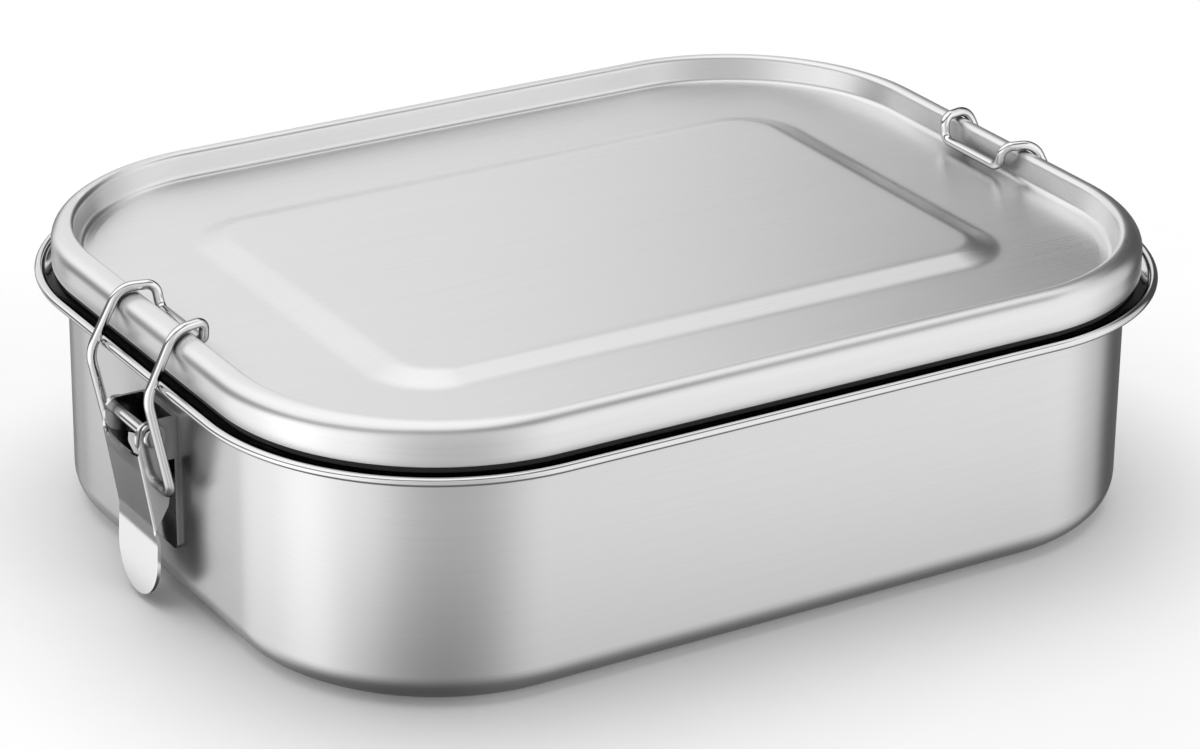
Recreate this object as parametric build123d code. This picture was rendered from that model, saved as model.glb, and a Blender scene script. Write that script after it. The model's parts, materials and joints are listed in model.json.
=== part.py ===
"""Stainless steel lunch box: pressed tub, lift-off lid with a silicone seal, and a wire bail latch at each end.

Millimetres, +Z up, origin at the centre of the tub's flat bottom. X runs along the box, from latch to latch.
Wall sections are drawn as distance outward from the corner centre, which all the rounded corners share.
"""

from build123d import *
from math import radians, tan
import os

# Overall size, over the rolled rim
RIM_LENGTH = 230.0
RIM_WIDTH = 180.5
RIM_CORNER_RADIUS = 54.2
RIM_HEIGHT = 54.3
SHEET = 0.6

# Tub
RIM_CURL_RADIUS = 1.0
WALL_INSET = 7.15
FOOT_RADIUS = 7.5
LIP_THICKNESS = 1.8
LIP_RISE = 5.5

# Lid, with heights above the rim's centre
SKIRT_INSET = 3.8
SKIRT_GAP = 1.84
BEAD_RISE = 10.5
BEAD_OUTER_RADIUS = 4.0
BEAD_INNER_RADIUS = 1.4
BEAD_WIDTH = 5.2
BEAD_SLOPE = 1.1
BORDER_RISE = 4.45
BORDER_CREASE_RADIUS = 1.2
PANEL_RISE = 6.3
PANEL_LENGTH = 157.0
PANEL_WIDTH = 106.5
PANEL_CORNER_RADIUS = 15.5
PANEL_SLOPE = 6.2

# Seal
SEAL_PLAY = 0.05
SEAL_LIP_GAP = 0.35

# Latch, in the right-hand one's plane: outward from the box's middle, and up from the rim's centre
LATCH_SHEET = 0.8
PIVOT = (114.2, -13.5)
PIN_RADIUS = 1.35
PIN_HEAD_RADIUS = 2.1
PIN_HEAD = 0.8
PIN_FIT = 0.02
RUNNING_FIT = 0.05
EAR_INNER = 7.2
EAR_RADIUS = 3.2
PLATE_HALF_WIDTH = 8.0
PLATE_TOP = -10.5
PLATE_BOTTOM = -41.5
CHEEK_INNER = 8.15
CHEEK_RADIUS = 3.0
BAIL_HOLE = (112.3, -25.5)
BAIL_LOBE_RADIUS = 2.1
TONGUE_WIDTH = 19.0
WINDOW_DIP = 1.2
WIRE_RADIUS = 1.1
BAIL_HALF_WIDTH = 14.0
BAIL_END_INNER = 4.5

# Side view of the lever's outer face, from its top edge down to its finger tip: outward, up from the rim
FACE_TOP = (117.4, -17.2)
FACE_FOLD = (114.4, -34.4)
FACE_DIP = (113.9, -38.5)
FACE_TIP = (114.6, -53.0)
FOLD_BEND = 12.0
DIP_BEND = 8.0

# Half of the bail wire, from its end in the cheek to its crosspiece: outward, across, up, bend radius
BAIL_BENDS = [
    (BAIL_HOLE[0], BAIL_END_INNER, BAIL_HOLE[1], 0),
    (BAIL_HOLE[0], BAIL_HALF_WIDTH, BAIL_HOLE[1], 3.2),
    (117.4, BAIL_HALF_WIDTH, -1.8, 8.0),
    (110.4, 13.4, 11.8, 5.3),
    (102.7, 11.6, 11.8, 2.4),
    (102.3, 10.4, 6.6, 2.4),
]

# Share of the largest possible rounding that still leaves an edge between two neighbouring roundings
FULL_ROUND = 0.99
PLATE_CORNER = 1.5
SHOULDER_BEND = 3.0

# Places that follow from the sizes above
CORNER_X = RIM_LENGTH / 2 - RIM_CORNER_RADIUS
CORNER_Y = RIM_WIDTH / 2 - RIM_CORNER_RADIUS
WALL_RADIUS = RIM_CORNER_RADIUS - WALL_INSET
SKIRT_RADIUS = RIM_CORNER_RADIUS - SKIRT_INSET
WALL_FACE = RIM_LENGTH / 2 - WALL_INSET
PLATE_FACE = WALL_FACE + LATCH_SHEET
EAR_OUTER = EAR_INNER + LATCH_SHEET
CHEEK_OUTER = CHEEK_INNER + LATCH_SHEET


def section(corners):
    """Closed flat outline from (outward, up, rounding radius) corners."""
    shape = make_face(Polyline([(x, y) for x, y, _ in corners], close=True))
    for x, y, radius in corners:
        if radius:
            corner = shape.vertices().sort_by_distance((x, y, 0))[0]
            shape = fillet(corner, radius)
    return shape


def around(profile):
    """Carries a wall section all the way round the rounded box."""
    upright = Axis((CORNER_X, CORNER_Y, 0), (0, 0, 1))
    across_end = Pos(CORNER_X, CORNER_Y, 0) * (Plane.XZ * profile)
    across_side = across_end.rotate(upright, 90)
    quarter = revolve(across_end, upright, 90)
    quarter += extrude(across_end, CORNER_Y, dir=(0, -1, 0))
    quarter += extrude(across_side, CORNER_X, dir=(-1, 0, 0))
    half = quarter + mirror(quarter, Plane.XZ)
    return half + mirror(half, Plane.YZ)


def floor_plate(radius, bottom):
    """Flat sheet that fills the middle of a ring whose section starts at radius."""
    shape = RectangleRounded(2 * (CORNER_X + radius), 2 * (CORNER_Y + radius), radius)
    return Pos(0, 0, bottom) * extrude(shape, SHEET)


def make_tub():
    """Drawn tub with a hemmed lip that stands inside the lid and a rolled rim."""
    inner = WALL_RADIUS - SHEET
    start = inner - FOOT_RADIUS - 2
    wall = section(
        [
            (start, 0, 0),
            (WALL_RADIUS, 0, FOOT_RADIUS),
            (WALL_RADIUS, RIM_HEIGHT, 0),
            (inner, RIM_HEIGHT, 0),
            (inner, SHEET, FOOT_RADIUS - SHEET),
            (start, SHEET, 0),
        ]
    )
    half_lip = LIP_THICKNESS / 2
    lip = section(
        [
            (inner, RIM_HEIGHT - SHEET, 0),
            (inner + LIP_THICKNESS, RIM_HEIGHT - SHEET, 0),
            (inner + LIP_THICKNESS, RIM_HEIGHT + LIP_RISE, 0.95 * half_lip),
            (inner, RIM_HEIGHT + LIP_RISE, 0.95 * half_lip),
        ]
    )
    curl_centre = RIM_CORNER_RADIUS - RIM_CURL_RADIUS
    flange = section(
        [
            (WALL_RADIUS - SHEET / 2, RIM_HEIGHT - SHEET, 0),
            (curl_centre, RIM_HEIGHT - SHEET, 0),
            (curl_centre, RIM_HEIGHT, 0),
            (WALL_RADIUS - SHEET / 2, RIM_HEIGHT, 0),
        ]
    )
    curl = Pos(curl_centre, RIM_HEIGHT) * Circle(RIM_CURL_RADIUS)
    return around(wall + lip + flange + curl) + floor_plate(start, 0)


def rounded_block(length, width, radius, height):
    """Rounded rectangle outline at a height."""
    return Pos(0, 0, height) * RectangleRounded(length, width, radius)


def panel_block(bottom):
    """Raised centre panel with sloping sides, standing on a given height."""
    top = bottom + PANEL_RISE - BORDER_RISE
    inner_radius = PANEL_CORNER_RADIUS - PANEL_SLOPE
    inner_length = PANEL_LENGTH - 2 * PANEL_SLOPE
    inner_width = PANEL_WIDTH - 2 * PANEL_SLOPE
    low = rounded_block(PANEL_LENGTH, PANEL_WIDTH, PANEL_CORNER_RADIUS, bottom)
    high = rounded_block(inner_length, inner_width, inner_radius, top)
    return loft([low, high], ruled=True)


def make_lid():
    """Pressed lid: hollow bead with an outer skirt, sunk border and raised centre panel."""
    border_top = RIM_HEIGHT + BORDER_RISE
    border_bottom = border_top - SHEET
    bead_top = RIM_HEIGHT + BEAD_RISE
    skirt_bottom = RIM_HEIGHT + SKIRT_GAP
    bead_inner = SKIRT_RADIUS - BEAD_WIDTH
    border_edge = bead_inner - BEAD_SLOPE
    start = border_edge - 4
    bead = section(
        [
            (start, border_bottom, 0),
            (border_edge + SHEET, border_bottom, BORDER_CREASE_RADIUS + SHEET),
            (bead_inner + SHEET, bead_top - SHEET, BEAD_INNER_RADIUS - SHEET),
            (SKIRT_RADIUS - SHEET, bead_top - SHEET, BEAD_OUTER_RADIUS - SHEET - 0.1),
            (SKIRT_RADIUS - SHEET, skirt_bottom, 0),
            (SKIRT_RADIUS, skirt_bottom, 0),
            (SKIRT_RADIUS, bead_top, BEAD_OUTER_RADIUS - 0.1),
            (bead_inner, bead_top, BEAD_INNER_RADIUS - 0.3),
            (border_edge, border_top, BORDER_CREASE_RADIUS),
            (start, border_top, 0),
        ]
    )
    lid = around(bead) + floor_plate(start, border_bottom)
    return lid + panel_block(border_top) - panel_block(border_bottom)


def make_lid_seal():
    """Gasket in the hollow bead above the tub's lip, with an outer skirt that hangs beside the lip."""
    inner = WALL_RADIUS - SHEET
    lip_outer = inner + LIP_THICKNESS
    outer = SKIRT_RADIUS - SHEET - SEAL_PLAY
    seat = RIM_HEIGHT + LIP_RISE + SEAL_PLAY
    crown = RIM_HEIGHT + BEAD_RISE - SHEET - SEAL_PLAY
    gasket = section(
        [
            (inner - 0.2, seat, 0),
            (lip_outer + 0.1, seat, 0),
            (lip_outer + 0.1, RIM_HEIGHT + SEAL_LIP_GAP, 0),
            (outer, RIM_HEIGHT + SEAL_LIP_GAP, 0),
            (outer, crown, BEAD_OUTER_RADIUS - SHEET - 0.1),
            (inner - 0.2, crown, 0),
        ]
    )
    return around(gasket)


def cross_plate(profile, inner, outer):
    """A pair of flat plates with the same side outline, one either side of the latch's middle."""
    plate = Plane.XZ * (Pos(0, RIM_HEIGHT) * profile)
    near = extrude(Pos(0, -inner, 0) * plate, outer - inner, dir=(0, -1, 0))
    return near + mirror(near, Plane.XZ)


def cross_rod(at, radius, inner, outer):
    """A pair of round rods across the latch, one either side of its middle."""
    return cross_plate(Pos(*at) * Circle(radius), inner, outer)


def make_hinge_plate():
    """Plate on the end wall, with two ears folded outward to hold the pivot pin."""
    middle = (PLATE_TOP + PLATE_BOTTOM) / 2 + RIM_HEIGHT
    outline = RectangleRounded(2 * PLATE_HALF_WIDTH, PLATE_TOP - PLATE_BOTTOM, PLATE_CORNER)
    plate = Pos(WALL_FACE, 0, middle) * (Plane.YZ * outline)
    plate = extrude(plate, LATCH_SHEET, dir=(1, 0, 0))
    ear_foot = PIVOT[1] - 2 * EAR_RADIUS
    ear = section(
        [
            (WALL_FACE, PIVOT[1] + EAR_RADIUS, 0),
            (PIVOT[0] + EAR_RADIUS, PIVOT[1] + EAR_RADIUS, FULL_ROUND * EAR_RADIUS),
            (PIVOT[0] + EAR_RADIUS, PIVOT[1] - EAR_RADIUS, FULL_ROUND * EAR_RADIUS),
            (PLATE_FACE + 1.5, ear_foot, 1.0),
            (WALL_FACE, ear_foot, 0),
        ]
    )
    plate += cross_plate(ear, EAR_INNER, EAR_OUTER)
    return plate - cross_rod(PIVOT, PIN_RADIUS + PIN_FIT, EAR_INNER - 1, EAR_OUTER + 1)


def make_pivot_pin():
    """Pin through both ears and both cheeks, with a flat head at each end."""
    head_inner = CHEEK_OUTER + RUNNING_FIT
    shaft = cross_rod(PIVOT, PIN_RADIUS, 0, head_inner)
    heads = cross_rod(PIVOT, PIN_HEAD_RADIUS, head_inner, head_inner + PIN_HEAD)
    return shaft + heads


def make_lever():
    """Folded lever: a face, a finger tongue that flares outward, and a cheek on each side."""
    inward = LATCH_SHEET
    strip = section(
        [
            (*FACE_TOP, 0),
            (*FACE_FOLD, FOLD_BEND),
            (*FACE_DIP, DIP_BEND),
            (*FACE_TIP, 0),
            (FACE_TIP[0] - inward, FACE_TIP[1], 0),
            (FACE_DIP[0] - inward, FACE_DIP[1], DIP_BEND),
            (FACE_FOLD[0] - inward, FACE_FOLD[1], FOLD_BEND),
            (FACE_TOP[0] - inward, FACE_TOP[1], 0),
        ]
    )
    face = cross_plate(strip, 0, TONGUE_WIDTH / 2)
    top = RIM_HEIGHT + FACE_TOP[1]
    shoulder = RIM_HEIGHT + FACE_FOLD[1] + 2
    hip = RIM_HEIGHT + FACE_DIP[1]
    tip = RIM_HEIGHT + FACE_TIP[1]
    half = TONGUE_WIDTH / 2
    front = section(
        [
            (-CHEEK_OUTER, top, 0),
            (-CHEEK_OUTER, shoulder, SHOULDER_BEND),
            (-half, hip, SHOULDER_BEND),
            (-half, tip, FULL_ROUND * half),
            (half, tip, FULL_ROUND * half),
            (half, hip, SHOULDER_BEND),
            (CHEEK_OUTER, shoulder, SHOULDER_BEND),
            (CHEEK_OUTER, top, 0),
        ]
    )
    window_radius = (CHEEK_INNER**2 + WINDOW_DIP**2) / (2 * WINDOW_DIP)
    front -= Pos(0, top - WINDOW_DIP + window_radius) * Circle(window_radius)
    face &= extrude(Pos(WALL_FACE, 0, 0) * (Plane.YZ * front), 20, dir=(1, 0, 0))
    cheek = section(
        [
            (PIVOT[0] - CHEEK_RADIUS, PIVOT[1] + CHEEK_RADIUS, FULL_ROUND * CHEEK_RADIUS),
            (PIVOT[0] + CHEEK_RADIUS - 1.0, PIVOT[1] + CHEEK_RADIUS, 2.0),
            (*FACE_TOP, 0),
            (*FACE_FOLD, FOLD_BEND),
            (FACE_FOLD[0] - 0.3, FACE_FOLD[1] - 2.4, 0),
            (BAIL_HOLE[0] - 1.5, BAIL_HOLE[1] - 4.5, 3.0),
            (BAIL_HOLE[0] - BAIL_LOBE_RADIUS, BAIL_HOLE[1], 2.0),
            (BAIL_HOLE[0] - 0.4, BAIL_HOLE[1] + 4.0, 2.0),
            (PIVOT[0] - CHEEK_RADIUS, PIVOT[1], 0),
        ]
    )
    lever = face + cross_plate(cheek, CHEEK_INNER, CHEEK_OUTER)
    pin_hole = cross_rod(PIVOT, PIN_RADIUS + RUNNING_FIT, CHEEK_INNER - 1, CHEEK_OUTER + 1)
    wire_hole = cross_rod(BAIL_HOLE, WIRE_RADIUS + RUNNING_FIT, CHEEK_INNER - 1, CHEEK_OUTER + 1)
    return lever - pin_hole - wire_hole


def bent_wire(bends):
    """Path of straight runs joined by round bends."""
    points = [Vector(x, y, z) for x, y, z, _ in bends]
    edges = []
    here = points[0]
    for before, corner, after, bend in zip(points, points[1:], points[2:], bends[1:]):
        incoming = (corner - before).normalized()
        outgoing = (after - corner).normalized()
        half_turn = radians(incoming.get_angle(outgoing) / 2)
        reach = bend[3] * tan(half_turn)
        start = corner - incoming * reach
        edges.append(Line(here, start))
        edges.append(TangentArc(start, corner + outgoing * reach, tangent=incoming))
        here = corner + outgoing * reach
    edges.append(Line(here, points[-1]))
    return Wire([edge.edge() for edge in edges])


def make_bail():
    """Wire loop whose ends turn in through the lever's cheeks and whose top hooks over the lid's bead."""
    near = [(x, -y, z + RIM_HEIGHT, bend) for x, y, z, bend in BAIL_BENDS]
    far = [(x, -y, z, bend) for x, y, z, bend in reversed(near)]
    path = bent_wire(near + far)
    start = Plane(origin=path @ 0, z_dir=path % 0)
    return sweep(start * Circle(WIRE_RADIUS), path=path)


def write(name, shape):
    """Writes one piece to its own file."""
    export_step(shape, f"parts/{name}.step")


os.makedirs("parts", exist_ok=True)
write("tub", make_tub())
write("lid", make_lid())
write("lid_seal", make_lid_seal())
latch = {
    "hinge_plate": make_hinge_plate(),
    "pivot_pin": make_pivot_pin(),
    "lever": make_lever(),
    "bail": make_bail(),
}
for piece, shape in latch.items():
    write(f"right_{piece}", shape)
    write(f"left_{piece}", mirror(shape, Plane.YZ))
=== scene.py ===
"""Studio picture of a steel lunch box: pressed tub and lid, silicone seal, and a wire bail latch on each end.

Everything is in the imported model's frame: X along the box, Z up, the origin under the middle of the tub.
Shapes are worked out in millimetres and turned into metres when a mesh is made.
"""

import json
import math

import bpy
from mathutils import Matrix, Vector


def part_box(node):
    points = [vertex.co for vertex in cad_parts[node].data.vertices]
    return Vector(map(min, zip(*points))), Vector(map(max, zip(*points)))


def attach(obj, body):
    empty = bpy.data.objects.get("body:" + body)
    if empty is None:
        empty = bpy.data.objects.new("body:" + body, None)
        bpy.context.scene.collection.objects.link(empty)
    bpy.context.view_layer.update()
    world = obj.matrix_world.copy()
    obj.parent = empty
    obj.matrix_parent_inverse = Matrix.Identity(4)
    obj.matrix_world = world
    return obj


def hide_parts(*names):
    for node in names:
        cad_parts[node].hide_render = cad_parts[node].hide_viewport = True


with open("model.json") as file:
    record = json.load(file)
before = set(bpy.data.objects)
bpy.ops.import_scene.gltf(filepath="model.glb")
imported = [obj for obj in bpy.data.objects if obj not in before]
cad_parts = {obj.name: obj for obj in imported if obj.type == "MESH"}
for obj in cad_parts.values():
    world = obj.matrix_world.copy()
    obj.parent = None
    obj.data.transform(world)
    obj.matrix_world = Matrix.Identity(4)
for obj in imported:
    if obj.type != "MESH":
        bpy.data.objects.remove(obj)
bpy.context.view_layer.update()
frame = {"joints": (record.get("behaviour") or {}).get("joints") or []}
MM = 0.001


def box_mm(node):
    """Lowest and highest corner of a CAD node, in millimetres."""
    low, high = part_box(node)
    return low / MM, high / MM


TUB_HIGH = box_mm("tub")[1]
LID_LOW, LID_HIGH = box_mm("lid")
PLATE_LOW, PLATE_HIGH = box_mm("right_hinge_plate")
LEVER_HIGH = box_mm("right_lever")[1]
PIN_HIGH = box_mm("right_pivot_pin")[1]
JOINTS = {joint["name"]: joint for joint in frame["joints"]}

# Sheet metal and the rounded corners
SHEET = 0.6
RIM_CORNER_RADIUS = 54.2
CORNER_X = TUB_HIGH.x - RIM_CORNER_RADIUS
CORNER_Y = TUB_HIGH.y - RIM_CORNER_RADIUS
LIP_RISE = 5.5
LIP_THICKNESS = 1.8
RIM = TUB_HIGH.z - LIP_RISE
CURL_RADIUS = 1.0
WALL_RADIUS = RIM_CORNER_RADIUS - 7.15
FOOT_RADIUS = 7.5

# Lid
SKIRT_RADIUS = LID_HIGH.x - CORNER_X
BEAD_TOP = LID_HIGH.z
BEAD_WIDTH = 5.2
BEAD_OUTER_RADIUS = 3.9
BEAD_INNER_RADIUS = 1.3
BEAD_SLOPE = 1.1
BORDER_TOP = RIM + 4.45
BORDER_CREASE_RADIUS = 1.6
PANEL_RISE = 1.85
PANEL_LENGTH = 157.0
PANEL_WIDTH = 106.5
PANEL_CORNER_RADIUS = 15.5
PANEL_SLOPE = 6.2
PANEL_BEND = 9.0

# Latch
LATCH_SHEET = 0.8
PIVOT = Vector(JOINTS["right_lever_turn"]["pos_m"]) / MM
BAIL_HOLE = Vector(JOINTS["right_bail_turn"]["pos_m"]) / MM
PIN_RADIUS = 1.35
PIN_HEAD = 0.8
EAR_RADIUS = 3.2
PLATE_CORNER = 1.5
CHEEK_RADIUS = 3.0
CHEEK_OUTER = 8.95
BAIL_LOBE_RADIUS = 2.1
TONGUE_HALF = LEVER_HIGH.y
WINDOW_DIP = 1.2
WIRE_RADIUS = 1.1
PLATE_FOLD = 1.1
LEVER_FOLD = 1.3
FULL_ROUND = 0.99

# Half of the right bail's centre line: distance out, place across, height and bend radius
BAIL_BENDS = [
    (BAIL_HOLE.x, -4.5, BAIL_HOLE.z, 0),
    (BAIL_HOLE.x, -14.0, BAIL_HOLE.z, 3.2),
    (117.4, -14.0, RIM - 1.8, 8.0),
    (110.4, -13.4, RIM + 11.8, 5.3),
    (102.7, -11.6, RIM + 11.8, 2.4),
    (102.3, -10.4, RIM + 6.6, 2.4),
]

# Side view of the lever's outer face, as distance out and height from the rim
FACE_TOP = (117.4, -17.2)
FACE_FOLD = (114.4, -34.4)
FACE_DIP = (113.9, -38.5)
FACE_TIP = (114.6, -53.0)
FOLD_BEND = 12.0
DIP_BEND = 8.0
LEVER_HIP = -36.0
LEVER_FLARE_END = -39.5

ARC_STEPS = 10
CORNER_STEPS = 40
SIDE_STEPS = 16
FILL_SHARES = (0.8, 0.6, 0.4, 0.2)
SMALLEST_GAP = 0.005

# Materials, in metres
CONTACT_REACH = 0.014
FINEST_RIDGE = 0.00002

# Studio brightness. Panels: bearing, half width and soft edge in degrees, then brightness
STUDIO_STRENGTH = 1.42
WALL_LEVEL = 0.62
OVERHEAD_LEVEL = 0.80
GAP_LEVEL = 0.12
BEHIND_LEVEL = 0.10
FLOOR_LEVEL = 0.10
OVERHEAD_WATTS = 14.0
STUDIO_PANELS = [
    (-110, 38, 32, 0.80),
    (-100, 0, 30, 1.00),
    (45, 10, 40, 0.70),
    (-20, 5, 40, 0.42),
    (96, 8, 28, 0.45),
    (120, 18, 11, 0.05),
]
# The dark gap above the camera: where it starts, its height there, and how it sinks per degree beyond
GAP_BEARING = -45
GAP_HEIGHT = 57
GAP_SINK = 0.578

# Camera, from the middle of the rim: bearing, height angle, tilt, distance, lens and lens shift
CAMERA_AZIMUTH = -31.41
CAMERA_ELEVATION = 22.41
CAMERA_ROLL = 0.687
CAMERA_DISTANCE = 0.9452
CAMERA_LENS = 127.16
CAMERA_SHIFT = (0.0026, -0.0941)


# ---------------------------------------------------------------- outlines


def arc(centre, radius, start, end, steps=ARC_STEPS):
    """Points on a circle from one angle to another, in degrees."""
    points = []
    for i in range(steps + 1):
        angle = math.radians(start + (end - start) * i / steps)
        points.append((centre[0] + radius * math.cos(angle), centre[1] + radius * math.sin(angle)))
    return points


def rounded(corners, closed=True, steps=ARC_STEPS):
    """Outline through (x, y, bend radius) corners, with each bend as an arc."""
    count = len(corners)
    outline = []
    for i, (x, y, radius) in enumerate(corners):
        here = Vector((x, y))
        if not radius or (not closed and i in (0, count - 1)):
            outline.append((x, y))
            continue
        to_last = (Vector(corners[i - 1][:2]) - here).normalized()
        to_next = (Vector(corners[(i + 1) % count][:2]) - here).normalized()
        half = to_last.angle(to_next) / 2
        middle = here + (to_last + to_next).normalized() * (radius / math.sin(half))
        first = here + to_last * (radius / math.tan(half)) - middle
        last = here + to_next * (radius / math.tan(half)) - middle
        turn = first.angle_signed(last)
        for step in range(steps + 1):
            share = -turn * step / steps
            spun = Matrix.Rotation(share, 2) @ first
            outline.append(tuple(middle + spun))
    return outline


# ---------------------------------------------------------------- meshes


class Shape:
    """Vertices, faces and grain coordinates of a mesh in the making."""

    def __init__(self):
        self.points = []
        self.faces = []
        self.grain = []

    def add(self, points):
        first = len(self.points)
        self.points += [tuple(p) for p in points]
        return list(range(first, len(self.points)))

    def face(self, corners, grain):
        self.faces.append(list(corners))
        self.grain.append([(u * MM, v * MM) for u, v in grain])

    def flat(self, corners):
        """Level face whose grain runs along X."""
        self.face(corners, [self.points[c][:2] for c in corners])

    def build(self, name, material, creases=math.radians(50)):
        mesh = bpy.data.meshes.new(name)
        scaled = [[c * MM for c in p] for p in self.points]
        mesh.from_pydata(scaled, [], self.faces)
        layer = mesh.uv_layers.new(name="grain")
        flat_grain = [uv for face in self.grain for uv in face]
        for loop, uv in zip(layer.data, flat_grain):
            loop.uv = uv
        mesh.validate()
        mesh.shade_smooth()
        mesh.set_sharp_from_angle(angle=creases)
        mesh.materials.append(material)
        piece = bpy.data.objects.new(name, mesh)
        bpy.context.scene.collection.objects.link(piece)
        return piece


def stations(reference):
    """Walk round the rounded box: (corner centre, outward direction, distance walked) at each step."""
    walk = []
    travelled = 0.0
    centres = [(CORNER_X, CORNER_Y), (-CORNER_X, CORNER_Y), (-CORNER_X, -CORNER_Y), (CORNER_X, -CORNER_Y)]
    for quarter, centre in enumerate(centres):
        for step in range(CORNER_STEPS + 1):
            angle = math.radians(90 * (quarter + step / CORNER_STEPS))
            walk.append((Vector(centre), Vector((math.cos(angle), math.sin(angle))), travelled))
            travelled += reference * math.radians(90) / CORNER_STEPS
        travelled -= reference * math.radians(90) / CORNER_STEPS
        following = Vector(centres[(quarter + 1) % 4])
        side = following - Vector(centre)
        for step in range(1, SIDE_STEPS):
            along = step / SIDE_STEPS
            base = Vector(centre) + side * along
            walk.append((base, walk[-1][1], travelled + side.length * along))
        travelled += side.length
    return walk, travelled


def sweep_section(shape, section, walk, closed=True):
    """Carries a (distance out, height) outline round the box, and returns each outline point's loop."""
    loops = []
    for out, height in section:
        loops.append(shape.add([(*(base + way * out), height) for base, way, _ in walk]))
    heights = [0.0]
    for one, two in zip(section, section[1:] + section[:1]):
        heights.append(heights[-1] + math.dist(one, two))
    total = len(walk)
    length = WALK_LENGTH
    for i in range(len(section) if closed else len(section) - 1):
        low, high = loops[i], loops[(i + 1) % len(section)]
        for j in range(total):
            k = (j + 1) % total
            here = walk[j][2]
            there = walk[k][2] if k else length
            corners = [low[j], low[k], high[k], high[j]]
            bottom, top = heights[i], heights[i + 1]
            shape.face(corners, [(here, bottom), (there, bottom), (there, top), (here, top)])
    return loops


WALK, WALK_LENGTH = stations(WALL_RADIUS)


def bridge(shape, outer, inner, up):
    """Level or gently sloping faces between two loops of equal length, with the grain along X."""
    first, second = (outer, inner) if up else (inner, outer)
    total = len(outer)
    for j in range(total):
        k = (j + 1) % total
        shape.flat([first[j], first[k], second[k], second[j]])


def fill(shape, loop, up):
    """Level faces inside a loop, ring by ring to a point in the middle. They look up or down."""
    points = [shape.points[corner] for corner in loop]
    last = loop
    for share in FILL_SHARES:
        ring = shape.add([(x * share, y * share, z) for x, y, z in points])
        bridge(shape, last, ring, up)
        last = ring
    middle = shape.add([(0, 0, points[0][2])])[0]
    for one, two in zip(last, last[1:] + last[:1]):
        shape.flat([middle, one, two] if up else [middle, two, one])


# ---------------------------------------------------------------- materials


def link(tree, kind, settings=None, **inputs):
    """New node with its settings, and each input set to a value or joined to another node's output."""
    node = tree.nodes.new(kind)
    for key, value in (settings or {}).items():
        setattr(node, key, value)
    for key, value in inputs.items():
        numbered = key[0] == "i" and key[1:].isdigit()
        slot = node.inputs[int(key[1:]) if numbered else key.replace("_", " ")]
        if isinstance(value, bpy.types.NodeSocket):
            tree.links.new(value, slot)
        else:
            slot.default_value = value
    return node


def maths(tree, operation, one, two=0.0, three=0.0, clamp=False):
    """Result of one arithmetic node."""
    settings = {"operation": operation, "use_clamp": clamp}
    return link(tree, "ShaderNodeMath", settings, i0=one, i1=two, i2=three).outputs[0]


def stretched_noise(tree, coordinates, scale, detail, roughness=0.6):
    """Noise drawn out along the grain: scale is (per metre along, per metre across)."""
    mapped = link(tree, "ShaderNodeMapping", Vector=coordinates, Scale=(scale[0], scale[1], 1.0))
    noise = link(
        tree,
        "ShaderNodeTexNoise",
        {"noise_dimensions": "2D"},
        Vector=mapped.outputs[0],
        Scale=1.0,
        Detail=detail,
        Roughness=roughness,
    )
    return noise.outputs[0]


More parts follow.
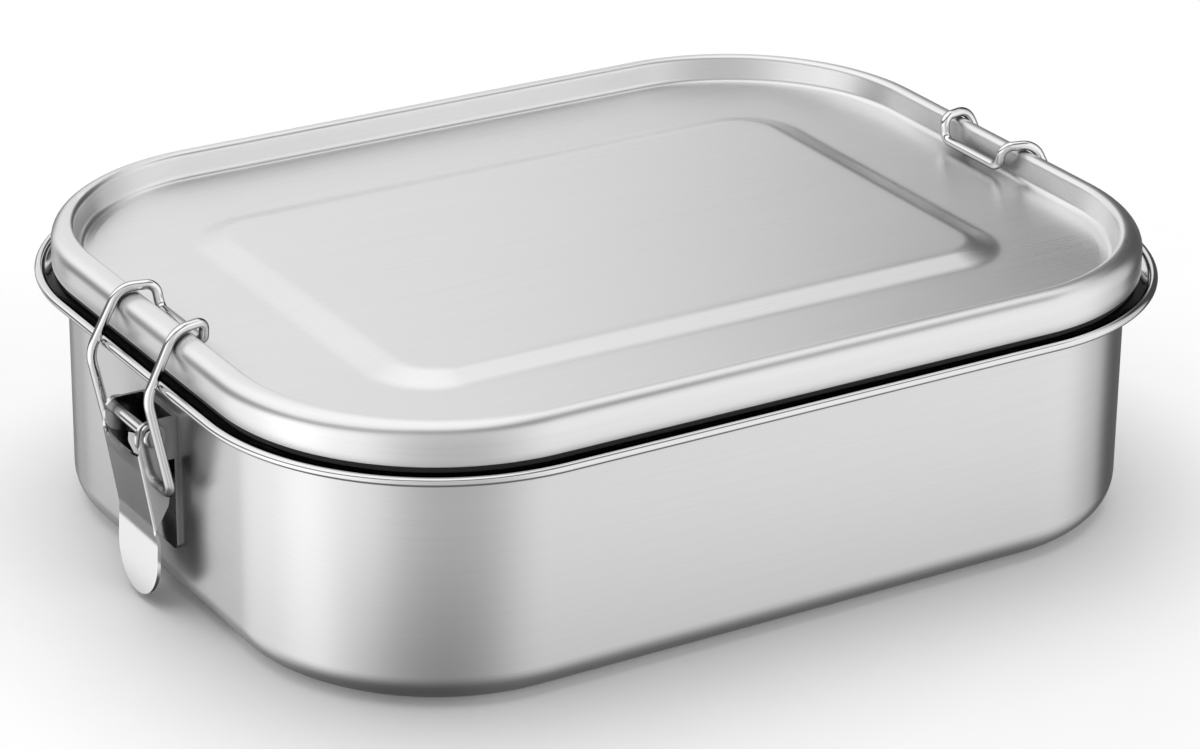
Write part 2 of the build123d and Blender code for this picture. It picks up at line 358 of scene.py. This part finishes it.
def steel(
    name,
    tone,
    roughness,
    anisotropy,
    grain,
    relief,
    shade=None,
    limb=0.0,
    contact=0.0,
    shaded_all_over=True,
    polished_from=0.0,
):
    """Brushed stainless steel.

    grain is how strongly the scratches show. Three kinds of shade are painted into the metal: shade at
    the foot of a wall, limb where the surface turns from the eye, and contact in folds and gaps, either
    all over or only near the latches.
    The metal is smoother above the height polished_from.
    """
    material = bpy.data.materials.new(name)
    material.use_nodes = True
    tree = material.node_tree
    shader = tree.nodes["Principled BSDF"]
    uv = link(tree, "ShaderNodeUVMap", {"uv_map": "grain"}).outputs[0]
    hairlines = stretched_noise(tree, uv, (35.0, 5200.0), 3.0)
    brush = stretched_noise(tree, uv, (14.0, 1300.0), 4.0)
    clouds = stretched_noise(tree, uv, (16.0, 24.0), 2.0, 0.5)
    lines = maths(tree, "ADD", maths(tree, "MULTIPLY", hairlines, 0.5), maths(tree, "MULTIPLY", brush, 0.5))
    lines = maths(tree, "SUBTRACT", lines, 0.5)
    patches = maths(tree, "SUBTRACT", clouds, 0.5)
    level = maths(tree, "MULTIPLY_ADD", lines, 0.5 * grain, 1.0)
    level = maths(tree, "MULTIPLY_ADD", patches, 0.05, level)
    edge = link(tree, "ShaderNodeNewGeometry").outputs["Pointiness"]
    worn = link(
        tree,
        "ShaderNodeMapRange",
        {"interpolation_type": "SMOOTHSTEP"},
        Value=edge,
        From_Min=0.53,
        From_Max=0.62,
        To_Min=0.0,
        To_Max=1.0,
    ).outputs[0]
    level = maths(tree, "MULTIPLY_ADD", worn, 0.08, level)
    if shade:
        level = maths(tree, "MULTIPLY", level, foot_shade(tree, *shade))
    if limb:
        facing = link(tree, "ShaderNodeLayerWeight", Blend=0.5).outputs["Facing"]
        level = maths(tree, "MULTIPLY", level, ramp_between(tree, facing, 0.25, 0.75, 1.0, 1.0 - limb))
    if contact:
        nearby = link(tree, "ShaderNodeAmbientOcclusion", {"samples": 8}, Distance=CONTACT_REACH)
        open_sky = nearby.outputs["AO"]
        close = ramp_between(tree, open_sky, 0.15, 0.95, 1.0 - contact, 1.0)
        if shaded_all_over:
            level = maths(tree, "MULTIPLY", level, close)
        else:
            close = mix(tree, near_latch(tree), 1.0, close)
            level = maths(tree, "MULTIPLY", level, close)
    colour = link(tree, "ShaderNodeCombineColor")
    for channel, tint in enumerate(tone):
        tree.links.new(maths(tree, "MULTIPLY", level, tint, clamp=True), colour.inputs[channel])
    rough = maths(tree, "MULTIPLY_ADD", lines, 0.35 * grain, roughness)
    rough = maths(tree, "MULTIPLY_ADD", patches, 0.06, rough)
    rough = maths(tree, "MULTIPLY_ADD", worn, -0.06, rough, clamp=True)
    if polished_from:
        place = link(tree, "ShaderNodeTexCoord").outputs["Object"]
        up = link(tree, "ShaderNodeSeparateXYZ", Vector=place).outputs[2]
        share = ramp_between(tree, up, polished_from - 0.0002, polished_from, 1.0, 0.22)
        rough = maths(tree, "MULTIPLY", rough, share)
    bump = link(tree, "ShaderNodeBump", Strength=relief, Distance=FINEST_RIDGE, Height=lines)
    tangent = link(tree, "ShaderNodeTangent", {"direction_type": "UV_MAP", "uv_map": "grain"})
    tree.links.new(colour.outputs[0], shader.inputs["Base Color"])
    tree.links.new(rough, shader.inputs["Roughness"])
    tree.links.new(bump.outputs[0], shader.inputs["Normal"])
    tree.links.new(tangent.outputs[0], shader.inputs["Tangent"])
    shader.inputs["Metallic"].default_value = 1.0
    shader.inputs["Anisotropic"].default_value = anisotropy
    shader.inputs["Anisotropic Rotation"].default_value = 0.25
    return material


def mix(tree, share, one, two):
    """One value going over to another as share goes from 0 to 1."""
    return link(tree, "ShaderNodeMix", {"data_type": "FLOAT"}, i0=share, i2=one, i3=two).outputs[0]


def ramp_between(tree, value, start, end, low, high):
    """Smooth change from low to high as value goes from start to end."""
    settings = {"interpolation_type": "SMOOTHSTEP"}
    inputs = {"Value": value, "From_Min": start, "From_Max": end, "To_Min": low, "To_Max": high}
    return link(tree, "ShaderNodeMapRange", settings, **inputs).outputs[0]


def foot_shade(tree, low, high, least):
    """Factor that rises from least at one height to 1 at another, darker at the near left corner."""
    height = link(tree, "ShaderNodeTexCoord").outputs["Object"]
    up = link(tree, "ShaderNodeSeparateXYZ", Vector=height).outputs[2]
    wall = ramp_between(tree, up, low, high, least, 1.0)
    normal = link(tree, "ShaderNodeNewGeometry").outputs["Normal"]
    x, y, _ = link(tree, "ShaderNodeSeparateXYZ", Vector=normal).outputs
    bearing = maths(tree, "ARCTAN2", x, maths(tree, "MULTIPLY", y, -1.0))
    near_corner = window(tree, bearing, math.radians(-34), math.radians(5), math.radians(22))
    corner = ramp_between(tree, up, low + 0.03, high - 0.003, 0.70, 1.0)
    return maths(tree, "MULTIPLY", wall, mix(tree, near_corner, 1.0, corner))


def near_latch(tree):
    """1 on the ends of the box beside the latches, 0 elsewhere."""
    place = link(tree, "ShaderNodeTexCoord").outputs["Object"]
    x, y, z = link(tree, "ShaderNodeSeparateXYZ", Vector=place).outputs
    end = ramp_between(tree, maths(tree, "ABSOLUTE", x), 0.084, 0.094, 0.0, 1.0)
    from_rim = maths(tree, "ABSOLUTE", maths(tree, "SUBTRACT", z, RIM * MM))
    clear_of_rim = ramp_between(tree, from_rim, 0.001, 0.004, 0.0, 1.0)
    beside = maths(tree, "MULTIPLY", end, clear_of_rim)
    return maths(tree, "MULTIPLY", beside, window(tree, y, 0.0, 0.020, 0.012))


def silicone(name):
    """Dark soft rubber with a faint dusty bloom."""
    material = bpy.data.materials.new(name)
    material.use_nodes = True
    tree = material.node_tree
    shader = tree.nodes["Principled BSDF"]
    place = link(tree, "ShaderNodeTexCoord").outputs["Object"]
    bloom = link(tree, "ShaderNodeTexNoise", Vector=place, Scale=900.0, Detail=3.0).outputs[0]
    dust = link(tree, "ShaderNodeMapRange", Value=bloom, To_Min=0.008, To_Max=0.02).outputs[0]
    colour = link(tree, "ShaderNodeCombineColor", Red=dust, Green=dust, Blue=dust)
    rough = maths(tree, "MULTIPLY_ADD", bloom, 0.2, 0.5)
    bump = link(tree, "ShaderNodeBump", Strength=0.2, Distance=0.0001, Height=bloom)
    tree.links.new(colour.outputs[0], shader.inputs["Base Color"])
    tree.links.new(rough, shader.inputs["Roughness"])
    tree.links.new(bump.outputs[0], shader.inputs["Normal"])
    return material


# ---------------------------------------------------------------- tub, lid and seal


def tub_section():
    """Outline of the tub's sheet: under the floor, out over the rolled rim and the lip, and down inside."""
    inner = WALL_RADIUS - SHEET
    start = inner - FOOT_RADIUS - 2
    lip_outer = inner + LIP_THICKNESS
    outside = rounded(
        [
            (start, 0, 0),
            (WALL_RADIUS, 0, FOOT_RADIUS),
            (WALL_RADIUS, RIM - SHEET, 0.7),
            (RIM_CORNER_RADIUS - 1.6 * CURL_RADIUS, RIM - SHEET, 0),
        ],
        closed=False,
    )
    curl = arc((RIM_CORNER_RADIUS - CURL_RADIUS, RIM), CURL_RADIUS, 220, 515, 28)
    lip = rounded(
        [
            (RIM_CORNER_RADIUS - 2 * CURL_RADIUS - 0.3, RIM, 0),
            (lip_outer, RIM, 0.3),
            (lip_outer, RIM + LIP_RISE, 0.85),
            (inner, RIM + LIP_RISE, 0.85),
            (inner, SHEET, FOOT_RADIUS - SHEET),
            (start, SHEET, 0),
        ],
        closed=False,
    )
    return outside + curl + lip


def make_tub(material):
    """Tub with its rolled rim and lip."""
    shape = Shape()
    loops = sweep_section(shape, tub_section(), WALK, closed=False)
    fill(shape, loops[0], up=False)
    fill(shape, loops[-1], up=True)
    return shape.build("tub_shell", material)


def panel_loop(inset, height):
    """Rounded outline of the raised panel, drawn in by inset, with a point for each step of WALK."""
    radius = max(PANEL_CORNER_RADIUS - inset, 0.5)
    half_x = PANEL_LENGTH / 2 - inset - radius
    half_y = PANEL_WIDTH / 2 - inset - radius
    points = []
    for base, way, _ in WALK:
        x = base.x / CORNER_X * half_x + way.x * radius
        y = base.y / CORNER_Y * half_y + way.y * radius
        points.append((x, y, height))
    return points


def panel_profile():
    """(inset, rise) down the panel's side, from its flat top to the border, with soft bends."""
    corners = [
        (PANEL_SLOPE + 3, PANEL_RISE, 0),
        (PANEL_SLOPE, PANEL_RISE, PANEL_BEND),
        (0, 0, PANEL_BEND),
        (-3, 0, 0),
    ]
    return rounded(corners, closed=False, steps=6)


def lid_section():
    """Outline of the lid's sheet from under its border, down inside the skirt and back over the bead."""
    bead_inner = SKIRT_RADIUS - BEAD_WIDTH
    edge = bead_inner - BEAD_SLOPE
    start = edge - 3
    under = BORDER_TOP - SHEET
    sheet = rounded(
        [
            (start, BORDER_TOP, 0),
            (edge, BORDER_TOP, BORDER_CREASE_RADIUS),
            (bead_inner, BEAD_TOP, BEAD_INNER_RADIUS),
            (SKIRT_RADIUS, BEAD_TOP, BEAD_OUTER_RADIUS),
            (SKIRT_RADIUS, LID_LOW.z, 0.2),
            (SKIRT_RADIUS - SHEET, LID_LOW.z, 0.2),
            (SKIRT_RADIUS - SHEET, BEAD_TOP - SHEET, BEAD_OUTER_RADIUS - SHEET),
            (bead_inner + SHEET, BEAD_TOP - SHEET, BEAD_INNER_RADIUS - SHEET),
            (edge + SHEET, under, BORDER_CREASE_RADIUS),
            (start, under, 0),
        ],
        closed=False,
        steps=12,
    )
    return list(reversed(sheet))


def make_lid(material):
    """Lid with its bead, sunk border and raised panel."""
    shape = Shape()
    loops = sweep_section(shape, lid_section(), WALK, closed=False)
    for last, level, up in ((loops[-1], BORDER_TOP, True), (loops[0], BORDER_TOP - SHEET, False)):
        for inset, rise in reversed(panel_profile()):
            loop = shape.add(panel_loop(inset, level + rise))
            bridge(shape, last, loop, up)
            last = loop
        fill(shape, last, up)
    return shape.build("lid_shell", material)


def make_seal(material):
    """Gasket in the lid's bead, with an outer lip that hangs beside the tub's lip."""
    low, high = box_mm("lid_seal")
    lip_outer = WALL_RADIUS - SHEET + LIP_THICKNESS + 0.1
    outer = high.x - CORNER_X
    seat = RIM + LIP_RISE + 0.05
    inner = WALL_RADIUS - SHEET - 0.2
    section = rounded(
        [
            (inner, seat, 0.4),
            (lip_outer, seat, 0.2),
            (lip_outer, low.z, 0.4),
            (outer, low.z, 0.4),
            (outer, high.z, 3.2),
            (inner, high.z, 0.2),
        ],
        steps=5,
    )
    shape = Shape()
    sweep_section(shape, section, WALK)
    return shape.build("seal_ring", material)


# ---------------------------------------------------------------- latch


def soften(piece, width, segments=3):
    """Rounds a piece's sharp edges."""
    bevel = piece.modifiers.new("soft_edges", "BEVEL")
    bevel.width = width * MM
    bevel.segments = segments
    bevel.limit_method = "ANGLE"
    bevel.angle_limit = math.radians(40)
    bevel.harden_normals = True


def tube(path, radius, sides=24):
    """Closed round bar along a path of points."""
    shape = Shape()
    rings = []
    normal = None
    travelled = 0.0
    lengths = []
    for i, point in enumerate(path):
        ahead = path[min(i + 1, len(path) - 1)]
        behind = path[max(i - 1, 0)]
        forward = (ahead - behind).normalized()
        if normal is None:
            normal = forward.orthogonal().normalized()
        normal = (normal - forward * normal.dot(forward)).normalized()
        side = forward.cross(normal)
        ring = []
        for j in range(sides):
            angle = 2 * math.pi * j / sides
            ring.append(point + (normal * math.cos(angle) + side * math.sin(angle)) * radius)
        rings.append(shape.add(ring))
        lengths.append(travelled)
        if i + 1 < len(path):
            travelled += (path[i + 1] - point).length
    step = 2 * math.pi * radius / sides
    for i in range(len(rings) - 1):
        for j in range(sides):
            k = (j + 1) % sides
            corners = [rings[i][j], rings[i][k], rings[i + 1][k], rings[i + 1][j]]
            grain = [
                (lengths[i], j * step),
                (lengths[i], (j + 1) * step),
                (lengths[i + 1], (j + 1) * step),
                (lengths[i + 1], j * step),
            ]
            shape.face(corners, grain)
    shape.face(list(reversed(rings[0])), [(0, 0)] * sides)
    shape.face(rings[-1], [(0, 0)] * sides)
    return shape


def bent_path(bends, steps=12):
    """Centre line through (x, y, z, bend radius) points, with each bend as an arc."""
    points = [Vector(bend[:3]) for bend in bends]
    path = [points[0]]
    for i in range(1, len(points) - 1):
        here, radius = points[i], bends[i][3]
        to_last = (points[i - 1] - here).normalized()
        to_next = (points[i + 1] - here).normalized()
        half = to_last.angle(to_next) / 2
        middle = here + (to_last + to_next).normalized() * (radius / math.sin(half))
        first = here + to_last * (radius / math.tan(half)) - middle
        last = here + to_next * (radius / math.tan(half)) - middle
        axis = first.cross(last).normalized()
        turn = first.angle(last)
        for step in range(steps + 1):
            path.append(middle + Matrix.Rotation(turn * step / steps, 3, axis) @ first)
    path.append(points[-1])
    return path


def dense(path, gap):
    """The same path with points no further apart than gap."""
    filled = [path[0]]
    for one, two in zip(path, path[1:]):
        parts = max(1, math.ceil((two - one).length / gap))
        filled += [one.lerp(two, i / parts) for i in range(1, parts + 1)]
    return filled


def make_bail(side, sign, material):
    """Spring wire from one cheek of the lever, over the lid's bead and back to the other cheek."""
    bends = BAIL_BENDS + [(x, -y, z, radius) for x, y, z, radius in reversed(BAIL_BENDS)]
    path = dense(bent_path([(sign * x, y, z, radius) for x, y, z, radius in bends]), 1.0)
    piece = tube(path, WIRE_RADIUS).build(f"{side}_bail_wire", material)
    soften(piece, 0.25)
    finish(piece, side, "bail")
    return piece


def folded_sheet(shape, name, material, fold_radius):
    """Turns a bare folded surface into sheet metal: rounded folds, thickness, softened edges, no slivers."""
    piece = shape.build(name, material)
    fold = piece.modifiers.new("folds", "BEVEL")
    fold.width = fold_radius * MM
    fold.segments = 6
    fold.limit_method = "ANGLE"
    fold.angle_limit = math.radians(55)
    sheet = piece.modifiers.new("sheet", "SOLIDIFY")
    sheet.thickness = LATCH_SHEET * MM
    sheet.offset = -1.0
    sheet.use_even_offset = True
    soften(piece, 0.16, 2)
    weld = piece.modifiers.new("weld", "WELD")
    weld.merge_threshold = SMALLEST_GAP * MM
    return piece


def hang(piece, body, node):
    """Hangs a piece on a body, in place of a CAD node."""
    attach(piece, body)
    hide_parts(node)


def finish(piece, side, part):
    """Hangs a latch piece on its lever, bail or tub."""
    node = f"{side}_{part}"
    hang(piece, node if part in ("lever", "bail") else "tub", node)


def mirrored_face(shape, corners, grain, sign):
    """Face that keeps its outer side outward on either end of the box."""
    way = 1 if sign > 0 else -1
    shape.face(corners[::way], grain[::way])


def make_hinge_plate(side, sign, material):
    """Plate on the end wall with an ear folded out along each upper edge."""
    back = PLATE_LOW.x
    half = PLATE_HIGH.y
    top = PIVOT.z + EAR_RADIUS
    bottom = PLATE_LOW.z
    ear_foot = PIVOT.z - 2 * EAR_RADIUS
    shape = Shape()
    outline = rounded(
        [
            (half, ear_foot, 0),
            (half, bottom, PLATE_CORNER),
            (-half, bottom, PLATE_CORNER),
            (-half, ear_foot, 0),
        ],
        closed=False,
    )
    outline += [(-half, top), (half, top)]
    corners = shape.add([(sign * back, y, z) for y, z in outline])
    mirrored_face(shape, corners, [(z, y) for y, z in outline], sign)
    edge = rounded(
        [
            (back, ear_foot, 0),
            (back + 2.3, ear_foot, 1.0),
            (PIVOT.x + EAR_RADIUS, PIVOT.z - EAR_RADIUS, FULL_ROUND * EAR_RADIUS),
            (PIVOT.x + EAR_RADIUS, top, FULL_ROUND * EAR_RADIUS),
            (back, top, 0),
        ],
        closed=False,
    )
    near_foot, far_foot = corners[0], corners[len(outline) - 3]
    far_top, near_top = corners[-2], corners[-1]
    for y, foot, head, facing in ((half, near_foot, near_top, -sign), (-half, far_foot, far_top, sign)):
        middle = shape.add([(sign * x, y, z) for x, z in edge[1:-1]])
        mirrored_face(shape, [foot, *middle, head], [(z, x) for x, z in edge], facing)
    piece = folded_sheet(shape, f"{side}_hinge_plate_sheet", material, PLATE_FOLD)
    finish(piece, side, "hinge_plate")
    return piece


def make_pivot_pin(side, sign, material):
    """Turned pin with a low domed head at each end."""
    head = PIN_HIGH.x - PIVOT.x
    end = PIN_HIGH.y
    half = rounded(
        [
            (PIN_RADIUS, 0, 0),
            (PIN_RADIUS, end - PIN_HEAD, 0),
            (head, end - PIN_HEAD, 0.1),
            (head, end, 0.5),
            (0.3, end, 0),
        ],
        closed=False,
        steps=5,
    )
    profile = [(radius, -y) for radius, y in reversed(half)] + half[1:]
    around = 40
    shape = Shape()
    rings = []
    for radius, y in profile:
        ring = []
        for j in range(around):
            angle = 2 * math.pi * j / around
            ring.append((sign * PIVOT.x + radius * math.cos(angle), y, PIVOT.z + radius * math.sin(angle)))
        rings.append(shape.add(ring))
    for one, two, (radius, y), (next_radius, next_y) in zip(rings, rings[1:], profile, profile[1:]):
        for j in range(around):
            k = (j + 1) % around
            step = 2 * math.pi * radius / around
            grain = [(j * step, next_y), ((j + 1) * step, next_y), ((j + 1) * step, y), (j * step, y)]
            shape.face([two[j], two[k], one[k], one[j]], grain)
    shape.face(rings[0], [(0, 0)] * around)
    shape.face(rings[-1][::-1], [(0, 0)] * around)
    piece = shape.build(f"{side}_pivot_pin_turned", material)
    finish(piece, side, "pivot_pin")
    return piece


def lerp(one, two, share):
    return tuple(a + (b - a) * share for a, b in zip(one, two))


def lever_face_line():
    """Side view of the lever's outer face, from its top edge to its finger tip, at even steps."""
    corners = [(*FACE_TOP, 0), (*FACE_FOLD, FOLD_BEND), (*FACE_DIP, DIP_BEND), (*FACE_TIP, 0)]
    bends = rounded(corners, closed=False, steps=8)
    line = [bends[0]]
    for one, two in zip(bends, bends[1:-1]):
        parts = max(1, math.ceil(math.dist(one, two) / 0.7))
        line += [lerp(one, two, i / parts) for i in range(1, parts + 1)]
    flat, tip = line[-1], bends[-1]
    straight = flat[1] - tip[1] - TONGUE_HALF
    reach = flat[1] - tip[1]
    line += [lerp(flat, tip, straight / reach * i / 6) for i in range(1, 7)]
    for degrees in (10, 20, 30, 40, 50, 58, 65, 71, 76, 80, 84, 87):
        drop = straight + TONGUE_HALF * math.sin(math.radians(degrees))
        line.append(lerp(flat, tip, drop / reach))
    return line


def lever_half_width(z):
    """Half the width of the lever's outer face at a height under the rim."""
    half = TONGUE_HALF
    if z > FACE_TIP[1] + half:
        share = min(max((LEVER_HIP - z) / (LEVER_HIP - LEVER_FLARE_END), 0), 1)
        share = share * share * (3 - 2 * share)
        return CHEEK_OUTER + (half - CHEEK_OUTER) * share
    drop = FACE_TIP[1] + half - z
    return math.sqrt(max(half * half - drop * drop, 0.0))


def make_lever(side, sign, material):
    """Folded lever: a face that runs down into a round-ended finger tongue, and a cheek along each side."""
    line = lever_face_line()
    across = 20
    shape = Shape()
    rows = []
    kept = []
    travelled = 0.0
    for number, (x, z) in enumerate(line):
        if number:
            travelled += math.dist(line[number - 1], line[number])
        half = lever_half_width(z)
        row = []
        for j in range(across + 1):
            share = 2 * j / across - 1
            dip = WINDOW_DIP * (1 - share * share) * max(0.0, 1 - travelled / 4)
            row.append((sign * x, half * share, z + RIM - dip))
        rows.append(shape.add(row))
        kept.append((travelled, half, z))
    for number in range(len(rows) - 1):
        one, two = rows[number], rows[number + 1]
        top, top_half, _ = kept[number]
        low, low_half, _ = kept[number + 1]
        for j in range(across):
            left, right = 2 * j / across - 1, 2 * (j + 1) / across - 1
            corners = [one[j], two[j], two[j + 1], one[j + 1]]
            grain = [
                (top, top_half * left),
                (low, low_half * left),
                (low, low_half * right),
                (top, top_half * right),
            ]
            mirrored_face(shape, corners, grain, sign)
    folded = [number for number, (_, _, z) in enumerate(kept) if z > LEVER_HIP]
    back = rounded(
        [
            (line[folded[-1]][0] - 0.1, RIM + kept[folded[-1]][2], 0),
            (BAIL_HOLE.x - 1.5, BAIL_HOLE.z - 4.5, 3.0),
            (BAIL_HOLE.x - BAIL_LOBE_RADIUS, BAIL_HOLE.z, 2.0),
            (BAIL_HOLE.x - 0.4, BAIL_HOLE.z + 4.0, 2.0),
            (PIVOT.x - CHEEK_RADIUS, PIVOT.z, 0.5),
            (PIVOT.x - CHEEK_RADIUS, PIVOT.z + CHEEK_RADIUS, FULL_ROUND * CHEEK_RADIUS),
            (PIVOT.x + CHEEK_RADIUS - 1.0, PIVOT.z + CHEEK_RADIUS, 2.0),
            (FACE_TOP[0], RIM + FACE_TOP[1], 0),
        ],
        closed=False,
    )[1:-1]
    for column, y, facing in ((0, -CHEEK_OUTER, sign), (across, CHEEK_OUTER, -sign)):
        front = [rows[number][column] for number in folded]
        rest = shape.add([(sign * x, y, z) for x, z in back])
        corners = front + rest
        mirrored_face(shape, corners, [(-shape.points[c][2], shape.points[c][0]) for c in corners], -facing)
    piece = folded_sheet(shape, f"{side}_lever_sheet", material, LEVER_FOLD)
    finish(piece, side, "lever")
    return piece


# ---------------------------------------------------------------- studio


def make_world():
    """Soft studio: panels round the box, light overhead, and dark above the camera, behind and below."""
    world = bpy.data.worlds.new("studio")
    bpy.context.scene.world = world
    world.use_nodes = True
    tree = world.node_tree
    background = tree.nodes["Background"]
    direction = link(tree, "ShaderNodeTexCoord").outputs["Generated"]
    x, y, z = link(tree, "ShaderNodeSeparateXYZ", Vector=direction).outputs
    azimuth = maths(tree, "ARCTAN2", x, maths(tree, "MULTIPLY", y, -1.0))
    low = WALL_LEVEL
    for bearing, half, soft, brightness in STUDIO_PANELS:
        panel = window(tree, azimuth, math.radians(bearing), math.radians(half), math.radians(soft))
        low = mix(tree, panel, low, brightness)
    elevation = maths(tree, "ARCSINE", z)
    overhead = window(tree, elevation, math.radians(90), math.radians(38), math.radians(20))
    level = mix(tree, overhead, low, OVERHEAD_LEVEL)
    past = maths(tree, "SUBTRACT", math.radians(GAP_BEARING), azimuth)
    sink = maths(tree, "MULTIPLY", maths(tree, "MAXIMUM", past, 0.0), -GAP_SINK)
    gap_height = maths(tree, "ADD", sink, math.radians(GAP_HEIGHT))
    above_gap = maths(tree, "SUBTRACT", elevation, gap_height)
    gap = maths(
        tree,
        "MULTIPLY",
        window(tree, above_gap, 0.0, math.radians(6), math.radians(12)),
        window(tree, azimuth, math.radians(GAP_BEARING), math.radians(105), math.radians(45)),
    )
    level = mix(tree, gap, level, GAP_LEVEL)
    behind = maths(
        tree,
        "MULTIPLY",
        window(tree, azimuth, math.radians(150), math.radians(22), math.radians(16)),
        ramp_between(tree, elevation, math.radians(-6), math.radians(8), 1.0, 0.0),
    )
    level = mix(tree, behind, level, BEHIND_LEVEL)
    below = ramp_between(tree, elevation, math.radians(-60), math.radians(-27), 1.0, 0.0)
    near_below = ramp_between(tree, elevation, math.radians(-34), math.radians(-22), 1.0, 0.0)
    left_back = window(tree, azimuth, math.radians(-165), math.radians(8), math.radians(4))
    below = maths(tree, "MAXIMUM", below, maths(tree, "MULTIPLY", near_below, left_back))
    level = mix(tree, below, level, FLOOR_LEVEL)
    tree.links.new(level, background.inputs["Color"])
    background.inputs["Strength"].default_value = STUDIO_STRENGTH


def window(tree, value, centre, half, soft):
    """1 within half of the centre, fading to 0 over soft."""
    away = maths(tree, "ABSOLUTE", maths(tree, "SUBTRACT", value, centre))
    return ramp_between(tree, away, half, half + soft, 1.0, 0.0)


def make_camera():
    """Camera that looks down on the near left corner."""
    azimuth = math.radians(CAMERA_AZIMUTH)
    elevation = math.radians(CAMERA_ELEVATION)
    roll = math.radians(CAMERA_ROLL)
    back = Vector(
        (
            math.sin(azimuth) * math.cos(elevation),
            -math.cos(azimuth) * math.cos(elevation),
            math.sin(elevation),
        )
    )
    right = Vector((0, 0, 1)).cross(back).normalized()
    up = back.cross(right)
    tilted_right = right * math.cos(roll) + up * math.sin(roll)
    tilted_up = up * math.cos(roll) - right * math.sin(roll)
    turn = Matrix((tilted_right, tilted_up, back)).transposed().to_4x4()
    data = bpy.data.cameras.new("camera")
    data.lens = CAMERA_LENS
    data.shift_x, data.shift_y = CAMERA_SHIFT
    camera = bpy.data.objects.new("camera", data)
    camera.matrix_world = Matrix.Translation(Vector((0, 0, RIM * MM)) + back * CAMERA_DISTANCE) @ turn
    bpy.context.scene.collection.objects.link(camera)
    bpy.context.scene.camera = camera


def make_floor():
    """Plain pale floor, left out of the steel's reflections."""
    mesh = bpy.data.meshes.new("floor")
    half = 4.0
    corners = [(-half, -half, 0), (half, -half, 0), (half, half, 0), (-half, half, 0)]
    mesh.from_pydata(corners, [], [(0, 1, 2, 3)])
    floor = bpy.data.objects.new("floor", mesh)
    bpy.context.scene.collection.objects.link(floor)
    floor.location.z = -0.0002
    material = bpy.data.materials.new("floor_paper")
    material.use_nodes = True
    tree = material.node_tree
    shader = tree.nodes["Principled BSDF"]
    place = link(tree, "ShaderNodeTexCoord").outputs["Object"]
    fibre = link(tree, "ShaderNodeTexNoise", Vector=place, Scale=60.0, Detail=4.0).outputs[0]
    tone = link(tree, "ShaderNodeMapRange", Value=fibre, To_Min=0.93, To_Max=0.95).outputs[0]
    colour = link(tree, "ShaderNodeCombineColor", Red=tone, Green=tone, Blue=tone)
    tree.links.new(colour.outputs[0], shader.inputs["Base Color"])
    shader.inputs["Roughness"].default_value = 0.8
    mesh.materials.append(material)
    floor.visible_glossy = False


def make_lights():
    """Wide soft light from above that brings the floor up to white."""
    light = bpy.data.lights.new("overhead", "AREA")
    light.shape = "SQUARE"
    light.size = 2.0
    light.energy = OVERHEAD_WATTS
    lamp = bpy.data.objects.new("overhead", light)
    lamp.location = (0.2, 0.3, 1.8)
    lamp.visible_glossy = False
    bpy.context.scene.collection.objects.link(lamp)


# ---------------------------------------------------------------- the scene

tub_steel = steel(
    "tub_steel",
    (0.80, 0.80, 0.80),
    0.30,
    0.7,
    0.3,
    0.25,
    (-0.030, 0.050, 0.70),
    contact=0.6,
    shaded_all_over=False,
    polished_from=(RIM - 1.1) * MM,
)
lid_steel = steel("lid_steel", (0.84, 0.84, 0.84), 0.30, 0.6, 0.3, 0.25, contact=0.6, shaded_all_over=False)
latch_steel = steel("latch_steel", (0.78, 0.78, 0.78), 0.15, 0.3, 0.25, 0.15, contact=0.8)
wire_steel = steel("wire_steel", (0.90, 0.90, 0.90), 0.06, 0.2, 0.12, 0.04, limb=0.85)
rubber = silicone("seal_silicone")

hang(make_tub(tub_steel), "tub", "tub")
hang(make_lid(lid_steel), "lid", "lid")
hang(make_seal(rubber), "lid", "lid_seal")
for side, sign in (("left", -1), ("right", 1)):
    make_bail(side, sign, wire_steel)
    make_hinge_plate(side, sign, latch_steel)
    make_pivot_pin(side, sign, latch_steel)
    make_lever(side, sign, latch_steel)

make_world()
make_floor()
make_lights()
make_camera()
bpy.context.scene.view_settings.view_transform = "Standard"
